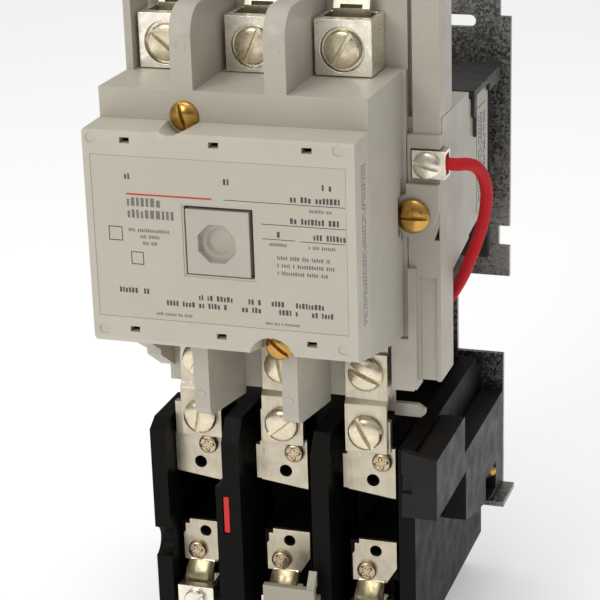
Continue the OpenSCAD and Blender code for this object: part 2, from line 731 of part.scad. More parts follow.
module heater_plate_upper(i) {
    x = relay_x(i);
    y = [seat_y - 1.6, seat_y];
    outline = [
        [x - 8.4, -52.6], [x + 8.4, -50.6], [x + 8.4, -68.9], [x + 5.4, -68.6], [x - 8.4, -66.8]
    ];
    color("silver") on_plate() difference() {
        union() {
            slab_y(outline, y);
            if (i > 1) {
                box([x - 10, x - 8.6], [y[0], -76], [-66.5, -54]);
                box([x - 12.2, x - 8.6], [-77.4, -76], [-66.5, -54]);
                box([x - 9, x - 8.3], y, [-66.5, -54]);
            }
            box([x - 7.6, x + 7], [y[0] - 0.8, y[1]], [-52, -40.6]);
            box([x - 7.6, x + 7], y, [-53, -51]);
        }
        rod_y(x + upper_screw[0], upper_screw[1], [-95, -80], 1.6);
        rod_y(x + upper_hole[0], upper_hole[1], [-95, -80], 2.2);
        rod_y(link_x(i), link_screw_z, [-95, -80], 3);
    }
}

module heater_plate_lower(i) {
    x = relay_x(i);
    y = [seat_y - 1.6, seat_y];
    outline = [
        [x - 6.6, -87], [x - 5, -87], [x - 5, -85.2], [x + 8.4, -85.2], [x + 8.4, -95],
        [x + 4.6, -101], [x - 7.4, -101], [x - 7.4, -91], [x - 6.6, -90]
    ];
    saddle = [
        [-88.6, -100.2], [-87, -100.2], [-87, -101], [-90, -105.4], [-90, -110], [-91.6, -110],
        [-91.6, -105]
    ];
    color("silver") on_plate() difference() {
        union() {
            slab_y(outline, y);
            slab_x(saddle, [x - 5.2, x + 4]);
        }
        rod_y(x + lower_screw[0], lower_screw[1], [-95, -80], 1.6);
        rod_y(x + lower_hole[0], lower_hole[1], [-95, -80], 2);
    }
}

module heater_screws() {
    color("tan") on_plate() for (i = [1 : 3]) {
        for (p = [upper_screw, lower_screw])
            cross_screw(relay_x(i) + p[0], p[1], seat_y - 1.6, 3.4, 2, 1.55, 12);
    }
}

module load_lug(i) {
    x = relay_x(i) - 0.6;
    color("silver") on_plate() difference() {
        box([x - 6.6, x + 6.6], [-97, -84], [-118, -107]);
        box([x - 4.9, x + 4.9], [-93.6, -85.2], [-120, -100]);
        rod_y(x, lug_screw_z, [-98, -91], 3);
    }
}

module load_lug_screws() {
    color("silver") on_plate() for (i = [1 : 3])
        slotted_screw(relay_x(i) - 0.6, lug_screw_z, -97, 4, 2, 2.95, 4.6, [45, 20, 30][i - 1]);
}

module bimetals() {
    color("darkgray") on_plate() for (i = [1 : 3]) {
        box([relay_x(i) - 0.5, relay_x(i) + 0.5], [-37, -31], [-109.5, -79.5]);
        box([relay_x(i) - 4, relay_x(i) + 4], [-38, -30], [-112, -109]);
    }
}

module trip_bar() {
    bar_z = [-83.5, -80];
    color("ivory") on_plate() {
        box([-36, pivot_x - 1], [-29, -25], bar_z);
        for (i = [1 : 3]) box([relay_x(i) + 0.8, relay_x(i) + 3.3], [-36, -28], bar_z);
    }
}

module trip_lever() {
    blade = [pivot_x - 0.7, pivot_x + 0.7];
    color("ivory") on_plate() {
        rod_y(pivot_x, pivot_z, [-47, -22.8], 1.2);
        rod_y(pivot_x, pivot_z, [-46, -26], 2);
        box(blade, [-46, -25.4], [pivot_z - 11, pivot_z]);
        box(blade, [-46, -38], [pivot_z, pivot_z + 7]);
    }
}

module trip_contact() {
    color("peru") on_plate() box([pivot_x + 0.7, pivot_x + 1.5], [-45, -39], [pivot_z + 3, pivot_z + 6.8]);
}

module trip_indicator() {
    color("red") on_plate() box([-18.8, -16.7], [relay_y + 0.2, relay_y + 9], [-84.8, -71.2]);
}

module reset_lever() {
    back_y = -99.4 - reset_travel;
    top = -98.4;
    x = [-2.6, 15.6];
    fin = [[back_y - 2.4, top - 0.2], [back_y + 1.6, top - 0.2], [back_y + 1.6, top + 5.4]];
    color("gainsboro") on_plate() {
        box(x, [back_y - 2.4, back_y], [relay_bottom + 1, top]);
        box([10.4, 15.2], [back_y - 1, -54], [-110, -104]);
        slab_x(fin, [12.8, x[1]]);
    }
}

module reset_spring() {
    color("silver") on_plate() sweep(coil_points(12.8, -107, [-53.5, -41.5], 1.9, 4), 0.5, [0, 1, 0], 12);
}

module overload_screws() {
    color("goldenrod") on_plate() {
        slotted_screw(55, -89.5, -14, 2.4, 2, 1.45, 11, 90);
        slotted_screw(-34, -84, -16, 3.6, 2.4, 2.05, 13.5, 20);
        slotted_screw(36, -114, -16, 3.6, 2.4, 2.05, 13.5, 70);
    }
}

mounting_plate();
magnet_frame();
magnet_core();
shading_rings();
coil_bobbin();
coil_winding();
magnet_housing();
coil_label();
armature();
armature_pin();
crossbar();
moving_contact(1);  // moving_contact_1
moving_contact(2);  // moving_contact_2
moving_contact(3);  // moving_contact_3
contact_springs();
return_springs();
contactor_base();
arc_box();
front_cover();
nameplate();
line_lug(1);  // line_lug_1
line_lug(2);  // line_lug_2
line_lug(3);  // line_lug_3
line_lug_screws();
line_strap(1);  // line_strap_1
line_strap(2);  // line_strap_2
line_strap(3);  // line_strap_3
line_strap_screws();
load_straps();
link_strap(1);  // link_strap_1
link_strap(2);  // link_strap_2
link_strap(3);  // link_strap_3
strap_screws();
brass_screws();
coil_terminals();
coil_terminal_screws();
red_wire();
overload_base();
overload_front();
trip_housing();
heater_plate_upper(1);  // heater_plate_upper_1
heater_plate_upper(2);  // heater_plate_upper_2
heater_plate_upper(3);  // heater_plate_upper_3
heater_plate_lower(1);  // heater_plate_lower_1
heater_plate_lower(2);  // heater_plate_lower_2
heater_plate_lower(3);  // heater_plate_lower_3
heater_screws();
load_lug(1);  // load_lug_1
load_lug(2);  // load_lug_2
load_lug(3);  // load_lug_3
load_lug_screws();
bimetals();
trip_bar();
trip_lever();
trip_contact();
trip_indicator();
reset_lever();
reset_spring();
overload_screws();
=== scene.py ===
# A magnetic motor starter, dressed over its CAD frame. Lengths are in metres.
import json
import math
import random

import bmesh
import bpy
from mathutils import Matrix, Vector


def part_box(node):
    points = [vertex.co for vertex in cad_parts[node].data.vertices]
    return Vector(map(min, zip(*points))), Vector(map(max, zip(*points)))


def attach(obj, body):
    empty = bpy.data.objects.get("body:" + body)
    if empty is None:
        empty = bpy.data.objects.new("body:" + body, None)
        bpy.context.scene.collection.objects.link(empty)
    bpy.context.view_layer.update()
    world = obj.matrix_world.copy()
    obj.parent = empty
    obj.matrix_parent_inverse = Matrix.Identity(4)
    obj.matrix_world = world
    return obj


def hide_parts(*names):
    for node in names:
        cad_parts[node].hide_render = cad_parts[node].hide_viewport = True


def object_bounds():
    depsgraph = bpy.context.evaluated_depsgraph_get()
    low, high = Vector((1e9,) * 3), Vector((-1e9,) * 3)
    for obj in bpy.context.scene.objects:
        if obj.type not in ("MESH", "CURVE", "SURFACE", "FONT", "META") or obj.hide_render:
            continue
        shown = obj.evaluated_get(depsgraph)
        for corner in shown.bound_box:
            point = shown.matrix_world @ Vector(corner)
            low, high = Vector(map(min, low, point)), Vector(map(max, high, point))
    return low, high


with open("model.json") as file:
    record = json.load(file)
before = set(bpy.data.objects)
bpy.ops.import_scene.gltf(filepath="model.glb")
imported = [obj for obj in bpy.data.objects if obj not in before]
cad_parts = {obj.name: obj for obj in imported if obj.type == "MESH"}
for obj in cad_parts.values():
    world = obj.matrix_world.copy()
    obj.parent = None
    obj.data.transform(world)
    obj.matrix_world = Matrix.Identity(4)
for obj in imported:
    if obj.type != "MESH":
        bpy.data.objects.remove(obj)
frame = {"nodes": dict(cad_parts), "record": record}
CAD_LOW, CAD_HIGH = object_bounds()
NODES = frame["nodes"]
MM = 0.001
random.seed(7)


# ---------- camera ----------

CAMERA_PLACE = (0.20834, -0.67728, 0.22986)
LENS = 120.5
SENSOR = 36.0


def place_camera():
    """The camera, from its angles round, above and about the line of sight."""
    azimuth = math.radians(18.76)
    elevation = math.radians(19.68)
    roll = math.radians(-1.80)
    back = Vector((math.sin(azimuth) * math.cos(elevation),
                   -math.cos(azimuth) * math.cos(elevation),
                   math.sin(elevation)))
    right = (-back).cross(Vector((0, 0, 1))).normalized()
    up = right.cross(-back)
    right_r = math.cos(roll) * right + math.sin(roll) * up
    up_r = -math.sin(roll) * right + math.cos(roll) * up
    data = bpy.data.cameras.new("camera")
    data.lens = LENS
    data.sensor_width = SENSOR
    data.clip_start = 0.05
    data.clip_end = 20.0
    camera = bpy.data.objects.new("camera", data)
    bpy.context.scene.collection.objects.link(camera)
    turn = Matrix((right_r, up_r, back)).transposed()
    camera.matrix_world = Matrix.Translation(CAMERA_PLACE) @ turn.to_4x4()
    bpy.context.scene.camera = camera


place_camera()


# ---------- materials ----------

class Paint:
    """A Principled material and short calls that add nodes to it."""

    def __init__(self, name, colour, metallic=0.0, roughness=0.5, **sockets):
        self.material = bpy.data.materials.new(name)
        self.material.use_nodes = True
        self.tree = self.material.node_tree
        self.shader = self.tree.nodes["Principled BSDF"]
        self.set("Base Color", (*colour, 1.0))
        self.set("Metallic", metallic)
        self.set("Roughness", roughness)
        for key, value in sockets.items():
            self.set(key.replace("_", " "), value)
        self.height = None

    def set(self, socket, value):
        self.shader.inputs[socket].default_value = value

    def feed(self, socket, value):
        """Joins a socket to another node's output, or gives it a plain value."""
        if isinstance(value, bpy.types.NodeSocket):
            self.tree.links.new(value, socket)
        else:
            socket.default_value = value

    def add(self, kind, **inputs):
        made = self.tree.nodes.new(kind)
        for key, value in inputs.items():
            self.feed(made.inputs[key.replace("_", " ")], value)
        return made

    def link(self, source, socket):
        self.tree.links.new(source, self.shader.inputs[socket])

    def coords(self, stretch=(1, 1, 1)):
        place = self.tree.nodes.new("ShaderNodeTexCoord")
        return self.add("ShaderNodeMapping", Vector=place.outputs["Object"], Scale=stretch).outputs[0]

    def noise(self, scale, detail=4.0, rough=0.55, stretch=(1, 1, 1)):
        made = self.add("ShaderNodeTexNoise", Vector=self.coords(stretch), Scale=scale, Detail=detail,
                        Roughness=rough)
        return made.outputs[0]

    def cells(self, scale, output="Distance"):
        return self.add("ShaderNodeTexVoronoi", Vector=self.coords(), Scale=scale).outputs[output]

    def ramp(self, source, stops):
        made = self.add("ShaderNodeValToRGB", Fac=source)
        band = made.color_ramp
        while len(band.elements) < len(stops):
            band.elements.new(0.5)
        for element, (place, colour) in zip(band.elements, stops):
            element.position = place
            element.color = (colour, colour, colour, 1) if isinstance(colour, (int, float)) else (*colour, 1)
        return made.outputs[0]

    def math(self, operation, a, b):
        made = self.tree.nodes.new("ShaderNodeMath")
        made.operation = operation
        for socket, value in zip(made.inputs, (a, b)):
            self.feed(socket, value)
        return made.outputs[0]

    def mix(self, factor, a, b):
        """Colour a where the factor is 0 and colour b where it is 1; b is a plain colour."""
        made = self.tree.nodes.new("ShaderNodeMix")
        made.data_type = "RGBA"
        self.feed(made.inputs[0], factor)
        self.feed(made.inputs[6], a)
        self.feed(made.inputs[7], (*b, 1))
        return made.outputs[2]

    def bump(self, source, depth, strength=1.0):
        """Adds a bump of that depth in metres; later bumps stack on earlier ones."""
        made = self.add("ShaderNodeBump", Height=source, Distance=depth, Strength=strength)
        if self.height:
            self.tree.links.new(self.height, made.inputs["Normal"])
        self.height = made.outputs[0]
        self.link(self.height, "Normal")


def shades(colour, amount):
    """A darker and a lighter shade of a colour."""
    dark = tuple(c * (1 - amount) for c in colour)
    light = tuple(min(1.0, c * (1 + amount)) for c in colour)
    return dark, light


def moulding(name, colour, roughness=0.5, grain=0.00004, mottling=0.05, **sockets):
    """Moulded plastic: fine grain, faint flow marks, dust and handling marks."""
    paint = Paint(name, colour, roughness=roughness, **sockets)
    dark, light = shades(colour, mottling)
    flow = paint.noise(38, 5, 0.6)
    tint = paint.ramp(flow, [(0.3, dark), (0.7, light)])
    dust = paint.ramp(paint.noise(420, 3, 0.7), [(0.64, 0.0), (0.8, 1.0)])
    grime = tuple(c * 0.72 for c in colour)
    specks = paint.math("MULTIPLY", dust, 0.3)
    paint.link(paint.mix(specks, tint, grime), "Base Color")
    sheen = [(0.3, roughness - 0.09), (0.7, roughness + 0.1)]
    paint.link(paint.ramp(paint.noise(120, 4, 0.6), sheen), "Roughness")
    paint.bump(paint.noise(2600, 2, 0.5), grain, 0.5)
    paint.bump(paint.noise(90, 3, 0.5), 0.00005, 0.3)
    return paint.material


def metal(name, colour, roughness=0.3, brush=(1, 1, 30), wear=0.16, lines=900, metallic=1.0,
          relief=0.35):
    """Plated or rolled metal: fine brushed lines, stains, scuffs and small dents."""
    paint = Paint(name, colour, metallic=metallic, roughness=roughness)
    dark, light = shades(colour, wear)
    stain = paint.noise(150, 6, 0.65)
    paint.link(paint.ramp(stain, [(0.28, dark), (0.5, colour), (0.74, light)]), "Base Color")
    streak = paint.noise(lines, 3, 0.6, brush)
    scuff = paint.noise(240, 5, 0.7)
    both = paint.math("MULTIPLY", streak, scuff)
    paint.link(paint.ramp(both, [(0.12, roughness - 0.12), (0.42, roughness + 0.2)]), "Roughness")
    paint.bump(streak, 0.00003, relief)
    paint.bump(paint.noise(320, 3, 0.5), 0.00006, relief)
    return paint.material


def spangle(name):
    """Galvanised sheet: small zinc crystals of different brightness, with cloudy patches over them."""
    paint = Paint(name, (0.3, 0.3, 0.29), metallic=0.9, roughness=0.35)
    crystal = paint.cells(1300, output="Color")
    tones = [(0.2, (0.12, 0.12, 0.112)), (0.5, (0.2, 0.2, 0.19)), (0.8, (0.34, 0.34, 0.32))]
    grey = paint.ramp(crystal, tones)
    cloud = paint.ramp(paint.noise(26, 5, 0.6), [(0.45, 0.0), (0.68, 0.75)])
    paint.link(paint.mix(cloud, grey, (0.52, 0.52, 0.49)), "Base Color")
    paint.link(paint.ramp(crystal, [(0.2, 0.24), (0.8, 0.5)]), "Roughness")
    paint.bump(paint.cells(1300), 0.00003, 0.3)
    paint.bump(paint.noise(1200, 3, 0.6), 0.00002, 0.4)
    return paint.material


def laminations(name):
    """Stacked electrical steel: thin sheets seen edge on, with varnish and light rust."""
    paint = Paint(name, (0.3, 0.3, 0.31), metallic=0.8, roughness=0.45)
    bands = paint.add("ShaderNodeTexWave", Vector=paint.coords(), Scale=320.0, Distortion=0.4)
    bands.bands_direction = "Z"
    rust = paint.ramp(paint.noise(60, 6, 0.7), [(0.55, 0.0), (0.75, 0.5)])
    tone = paint.ramp(bands.outputs[0], [(0.2, (0.13, 0.13, 0.14)), (0.6, (0.36, 0.36, 0.37))])
    paint.link(paint.mix(rust, tone, (0.22, 0.11, 0.05)), "Base Color")
    paint.bump(bands.outputs[0], 0.00008, 0.7)
    return paint.material


def winding(name):
    """Enamelled copper wire wound in layers."""
    paint = Paint(name, (0.45, 0.2, 0.08), metallic=0.6, roughness=0.35, Coat_Weight=0.5)
    bands = paint.add("ShaderNodeTexWave", Vector=paint.coords(), Scale=360.0, Distortion=1.2)
    bands.bands_direction = "Y"
    tones = [(0.1, (0.16, 0.06, 0.02)), (0.7, (0.58, 0.27, 0.11))]
    paint.link(paint.ramp(bands.outputs[0], tones), "Base Color")
    paint.bump(bands.outputs[0], 0.0002, 0.9)
    return paint.material


def printed(name, colour, roughness=0.55):
    """Printing ink, slightly worn."""
    paint = Paint(name, colour, roughness=roughness)
    dark, light = shades(colour, 0.25)
    paint.link(paint.ramp(paint.noise(1400, 4, 0.7), [(0.3, dark), (0.7, light)]), "Base Color")
    paint.bump(paint.noise(2500, 2), 0.00001, 0.3)
    return paint.material


MATERIALS = {
    "galvanised": spangle("galvanised_spangle"),
    "dark_steel": metal("dark_steel", (0.045, 0.044, 0.043), 0.5, (1, 1, 6), 0.3, 300, metallic=0.5),
    "lamination": laminations("laminated_steel"),
    "copper": metal("contact_copper", (0.66, 0.33, 0.19), 0.32),
    "plated": metal("zinc_plate", (0.90, 0.85, 0.73), 0.31, (1, 1, 1), 0.12, 700, relief=0.1),
    "aged_plate": metal("aged_zinc_plate", (0.74, 0.66, 0.49), 0.29, (1, 1, 1), 0.2, 700, relief=0.12),
    "tinned": metal("tinned_copper", (0.58, 0.52, 0.41), 0.38, (18, 1, 1), 0.14, 160),
    "brass": metal("worn_brass", (0.56, 0.33, 0.085), 0.28, (1, 1, 1), 0.3, 600),
    "spring_steel": metal("spring_steel", (0.55, 0.55, 0.54), 0.28),
    "grey_moulding": moulding("grey_moulding", (0.485, 0.45, 0.385), 0.44),
    "cover_moulding": moulding("cover_moulding", (0.52, 0.485, 0.405), 0.42),
    "nameplate": moulding("nameplate_foil", (0.50, 0.465, 0.385), 0.38, 0.00001, 0.03),
    "paper_label": moulding("paper_label", (0.50, 0.48, 0.43), 0.6, 0.00003, 0.04),
    "ivory": moulding("ivory_moulding", (0.60, 0.52, 0.36), 0.45),
    "crossbar_moulding": moulding("crossbar_moulding", (0.48, 0.445, 0.38), 0.42),
    "red_plastic": moulding("red_flag", (0.62, 0.018, 0.014), 0.45, 0.00002, 0.08),
    "red_insulation": moulding("red_insulation", (0.53, 0.018, 0.024), 0.56, 0.00001, 0.07,
                               Specular_IOR_Level=0.12),
    "black_phenolic": moulding("black_phenolic", (0.0058, 0.0054, 0.0048), 0.46, 0.00003, 0.25,
                               Specular_IOR_Level=0.08),
    "charcoal_phenolic": moulding("charcoal_phenolic", (0.0135, 0.012, 0.0108), 0.46, 0.00004, 0.25,
                                  Specular_IOR_Level=0.2),
    "reset_moulding": moulding("reset_moulding", (0.40, 0.368, 0.295), 0.45),
    "bimetal": metal("bimetal_strip", (0.5, 0.47, 0.42), 0.35),
}
WINDING = winding("enamelled_wire")
WARM_PLATE = metal("warm_zinc_plate", (0.60, 0.47, 0.31), 0.34, (1, 1, 1), 0.2, 700, relief=0.12)
# A darker, browner copy of the tinned plate for the lug throats: painted shade where they go down into the
# lugs, with stains over it.
THROAT = metal("shaded_stained_throat", (0.36, 0.31, 0.19), 0.34, (1, 1, 0.1), 0.5, 700)
INK = printed("dark_ink", (0.06, 0.057, 0.052))
FAINT_INK = printed("faint_ink", (0.17, 0.155, 0.135))
RED_INK = printed("red_ink", (0.55, 0.035, 0.03))

SLOT_OF = {row["node"]: row["material_slot"] for row in frame["record"]["subparts"]}


def dress_nodes():
    """Gives every CAD node its slot's material."""
    for name, node in NODES.items():
        node.data.materials.clear()
        node.data.materials.append(WINDING if name == "coil_winding" else MATERIALS[SLOT_OF[name]])


def soften(name, width):
    """Rounds a CAD node's sharp edges with modifiers; its mesh stays as it is."""
    node = NODES[name]
    weld = node.modifiers.new("weld", "WELD")
    weld.merge_threshold = 1e-6
    merge = node.modifiers.new("flat_faces", "DECIMATE")
    merge.decimate_type = "DISSOLVE"
    merge.angle_limit = math.radians(1.0)
    bevel = node.modifiers.new("edges", "BEVEL")
    bevel.width = width
    bevel.segments = 2
    bevel.limit_method = "ANGLE"
    bevel.angle_limit = math.radians(32)
    bevel.harden_normals = True
    bevel.miter_outer = "MITER_ARC"


dress_nodes()
# width of the rounded edges of each material's nodes, in mm
EDGE = {
    "grey_moulding": 0.5, "cover_moulding": 0.6, "black_phenolic": 0.45, "charcoal_phenolic": 0.4,
    "reset_moulding": 0.5, "crossbar_moulding": 0.35, "ivory": 0.3, "red_plastic": 0.3,
    "galvanised": 0.3, "dark_steel": 0.3, "plated": 0.3, "tinned": 0.2, "copper": 0.2,
}
for node_name, slot_name in SLOT_OF.items():
    if slot_name in EDGE:
        soften(node_name, EDGE[slot_name] * MM)


# ---------- shared pieces ----------

# height of the front face's lower edge over the middle of the mounting holes, in mm
LIFT = 8.0


def at(x, y, z):
    """Millimetres, the height counted from the front face's lower edge, as metres in the CAD frame."""
    return Vector((x, y, z + LIFT)) * MM


def islands(name):
    """(low, high) of each separate solid of a CAD node, from left to right and then upward."""
    node = NODES[name]
    bm = bmesh.new()
    bm.from_mesh(node.data)
    bmesh.ops.remove_doubles(bm, verts=bm.verts, dist=1e-6)
    bm.transform(node.matrix_world)
    left = set(bm.verts)
    found = []
    while left:
        group = [left.pop()]
        for vert in group:
            for edge in vert.link_edges:
                other = edge.other_vert(vert)
                if other in left:
                    left.remove(other)
                    group.append(other)
        low = Vector([min(v.co[k] for v in group) for k in range(3)])
        high = Vector([max(v.co[k] for v in group) for k in range(3)])
        found.append((low, high))
    bm.free()
    return sorted(found, key=lambda pair: (round((pair[0].x + pair[1].x) / 2, 4), pair[0].z))


class Piece:
    """A mesh that is built up from parts and then handed over as one named piece."""

    def __init__(self, name, material, slot, body="starter"):
        self.bm = bmesh.new()
        self.name, self.material, self.slot, self.body = name, material, slot, body

    def take(self, part, matrix):
        """Adds a part and frees it."""
        mesh = bpy.data.meshes.new("part")
        part.to_mesh(mesh)
        part.free()
        mesh.transform(matrix)
        self.bm.from_mesh(mesh)
        bpy.data.meshes.remove(mesh)

    def block(self, low, high):
        """A box between two corners in metres."""
        part = bmesh.new()
        bmesh.ops.create_cube(part, size=1.0)
        low, high = Vector(low), Vector(high)
        size = high - low
        self.take(part, Matrix.Translation((low + high) / 2) @ Matrix.Diagonal((*size, 1.0)))

    def done(self, replaced=(), edge=0.0, smooth=30):
        """Hands the piece over; replaced names the CAD nodes that it stands for."""
        mesh = bpy.data.meshes.new(self.name)
        self.bm.to_mesh(mesh)
        self.bm.free()
        made = bpy.data.objects.new(self.name, mesh)
        bpy.context.scene.collection.objects.link(made)
        mesh.materials.append(self.material)
        mesh.shade_smooth()
        mesh.set_sharp_from_angle(angle=math.radians(smooth))
        if edge:
            bevel = made.modifiers.new("edges", "BEVEL")
            bevel.width = edge
            bevel.segments = 2
            bevel.limit_method = "ANGLE"
            bevel.angle_limit = math.radians(38)
            bevel.harden_normals = True
        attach(made, self.body)
        if replaced:
            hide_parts(*replaced)


SIDES = 64


def turned(profile):
    """A turned shape about +Z, from (radius, height) pairs that start and end on the axis."""
    bm = bmesh.new()
    angles = [2 * math.pi * k / SIDES for k in range(SIDES)]
    rings = []
    for radius, height in profile:
        if radius == 0:
            rings.append([bm.verts.new((0, 0, height))])
        else:
            rings.append([bm.verts.new((radius * math.cos(a), radius * math.sin(a), height)) for a in angles])
    for a, b in zip(rings, rings[1:]):
        for k in range(SIDES):
            n = (k + 1) % SIDES
            if len(a) == 1:
                bm.faces.new((a[0], b[k], b[n]))
            elif len(b) == 1:
                bm.faces.new((a[k], b[0], a[n]))
            else:
                bm.faces.new((a[k], b[k], b[n], a[n]))
    return bm


def split(bm, axis, place):
    """Cuts all faces along a plane square to an axis."""
    co = [0.0, 0.0, 0.0]
    no = [0.0, 0.0, 0.0]
    co[axis], no[axis] = place, 1.0
    everything = bm.verts[:] + bm.edges[:] + bm.faces[:]
    bmesh.ops.bisect_plane(bm, geom=everything, plane_co=co, plane_no=no, dist=1e-8)


def cut_slot(bm, half, floor):
    """Cuts a slot right across a head, along its local X, down to a floor."""
    for axis, place in ((1, half), (1, -half), (2, floor)):
        split(bm, axis, place)
    gone = []
    for face in bm.faces:
        middle = face.calc_center_median()
        if abs(middle.y) < half and middle.z > floor + 1e-8:
            gone.append(face)
    bmesh.ops.delete(bm, geom=gone, context="FACES")
    rim = {v for e in bm.edges if e.is_boundary for v in e.verts}
    for side in (half, -half):
        wall = [v for v in rim if abs(v.co.y - side) < 1e-7]
        wall.sort(key=lambda v: math.atan2(v.co.z - floor - 1e-5, v.co.x))
        bm.faces.new(wall if side > 0 else wall[::-1])
    base = [v for v in rim if abs(v.co.z - floor) < 1e-7 and abs(v.co.y) < half + 1e-7]
    base.sort(key=lambda v: math.atan2(v.co.y, v.co.x))
    bm.faces.new(base)
    bmesh.ops.recalc_face_normals(bm, faces=bm.faces[:])


def cut_cross(bm, half, reach, depth):
    """Sinks a cross-shaped recess into the top of a head, a little narrower at its floor."""
    for axis in (0, 1):
        for place in (half, -half, reach, -reach):
            split(bm, axis, place)
    inside = []
    for face in bm.faces:
        middle = face.calc_center_median()
        x, y = abs(middle.x), abs(middle.y)
        if face.normal.z > 0.4 and ((x < half and y < reach) or (y < half and x < reach)):
            inside.append(face)
    top = max(v.co.z for v in bm.verts)
    made = bmesh.ops.extrude_face_region(bm, geom=inside)
    for vert in made["geom"]:
        if isinstance(vert, bmesh.types.BMVert):
            vert.co = Vector((vert.co.x * 0.85, vert.co.y * 0.85, top - depth))
    bmesh.ops.recalc_face_normals(bm, faces=bm.faces[:])


def front_facing(place, angle):
    """Turns a shape's +Z to the front, spins it about that, and moves it to a place."""
    return Matrix.Translation(place) @ Matrix.Rotation(math.radians(90), 4, "X") @ Matrix.Rotation(
        math.radians(angle), 4, "Z")


def screws(name, material, head, angles, kind="slot", crown=0.35):
    """Replaces a CAD node of screws by turned ones.

    head is each head's height in metres, and crown is the share of it that is domed.
    """
    made = Piece(name + "_turned", material, SLOT_OF[name])
    for (low, high), angle in zip(islands(name), angles):
        radius = (high.x - low.x) / 2
        seat = low.y + head
        shank = high.y - seat
        neck = radius * 0.45
        rim = head * (1 - crown)
        profile = [(0, head), (radius * 0.3, head * 0.985), (radius * 0.55, rim + head * crown * 0.8),
                   (radius * 0.76, rim + head * crown * 0.5), (radius * 0.9, rim + head * crown * 0.14),
                   (radius * 0.97, rim * 0.84), (radius, rim * 0.6), (radius, 0), (neck, 0), (neck, -shank),
                   (0, -shank)]
        part = turned(profile)
        if kind == "slot":
            cut_slot(part, radius * 0.125, head * 0.42)
        else:
            cut_cross(part, radius * 0.15, radius * 0.62, head * 0.6)
        middle = Vector(((low.x + high.x) / 2, seat, (low.z + high.z) / 2))
        made.take(part, front_facing(middle, angle))
    made.done([name], edge=0.12 * MM)


# ---------- screws ----------

bpy.context.view_layer.update()
screws("line_lug_screws", MATERIALS["aged_plate"], 2.6 * MM, [-40, 66, 60], crown=0.2)
screws("line_strap_screws", MATERIALS["plated"], 2.2 * MM, [30, 30, 30])
screws("load_lug_screws", MATERIALS["plated"], 2.0 * MM, [45, 20, 30], crown=0.2)
screws("strap_screws", MATERIALS["aged_plate"], 3.0 * MM, [80, 60, 40, 100, 118, 155])
screws("heater_screws", WARM_PLATE, 2.0 * MM, [15, 10, 28, 8, 35, 12], kind="cross", crown=0.28)
screws("coil_terminal_screws", MATERIALS["plated"], 2.8 * MM, [10, -14])
screws("overload_screws", MATERIALS["brass"], 2.0 * MM, [20, 70, 90])
screws("brass_screws", MATERIALS["brass"], 2.9 * MM, [0, 105, 140, 0], crown=0.5)


# ---------- red wire ----------

WIRE_RADIUS = 2.05
# the wire's middle line from the right-hand coil terminal down to the relay, in mm
WIRE_PATH = [
    (53.8, -83.75, 47.6), (56, -83.75, 47.6), (60, -83.4, 47.4), (63, -81, 47),
    (65, -77, 45), (66.2, -73, 41), (66.5, -69.6, 36), (66, -67.6, 30),
    (64.6, -66.6, 23), (62.4, -66.2, 16), (59.8, -65.6, 9), (56, -62, 1),
    (51, -58, -7), (45, -53, -14.5), (37.5, -44, -24), (31, -32, -34),
    (27.4, -20, -42.4), (26.2, -13.4, -48), (26, -12, -53),
]


def red_wire():
    """The control wire's insulation, on the same route as the CAD tube."""
    data = bpy.data.curves.new("red_wire_smooth", "CURVE")
    data.dimensions = "3D"
    data.bevel_depth = WIRE_RADIUS * MM
    data.bevel_resolution = 8
    data.resolution_u = 10
    data.use_fill_caps = True
    line = data.splines.new("BEZIER")
    line.bezier_points.add(len(WIRE_PATH) - 1)
    for point, place in zip(line.bezier_points, WIRE_PATH):
        point.co = at(*place)
        point.handle_left_type = point.handle_right_type = "AUTO"
    made = bpy.data.objects.new("red_wire_smooth", data)
    bpy.context.scene.collection.objects.link(made)
    data.materials.append(MATERIALS["red_insulation"])
    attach(made, "starter")
    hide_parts("red_wire")


red_wire()


# ---------- printing on the cover: plain bars and frames that stand for text ----------

# front face of the printed foil, in mm
FOIL = -137.9


def stamp(piece, x0, z0, x1, z1, rise=0.02):
    """A printed oblong between two corners, standing very slightly proud of the foil."""
    piece.block(at(x0, FOIL - rise, z0), at(x1, FOIL + 0.01, z1))


def words(piece, x, z, length, height):
    """A run of short bars of different widths, broken into words."""
    place = x
    while place < x + length:
        width = random.uniform(0.55, 1.0) * height * 0.5
        tall = height * random.choice((0.82, 1.0, 1.0))
        stamp(piece, place, z, place + width, z + tall, 0.025)
        place += width + height * 0.22
        if random.random() < 0.13:
            place += height * 0.6


def square_frame(piece, x, z, side, line):
    """An empty square drawn with a thin line, from its lower left corner."""
    stamp(piece, x, z, x + side, z + line)
    stamp(piece, x, z + side - line, x + side, z + side)
    stamp(piece, x, z + line, x + line, z + side - line)
    stamp(piece, x + side - line, z + line, x + side, z + side - line)


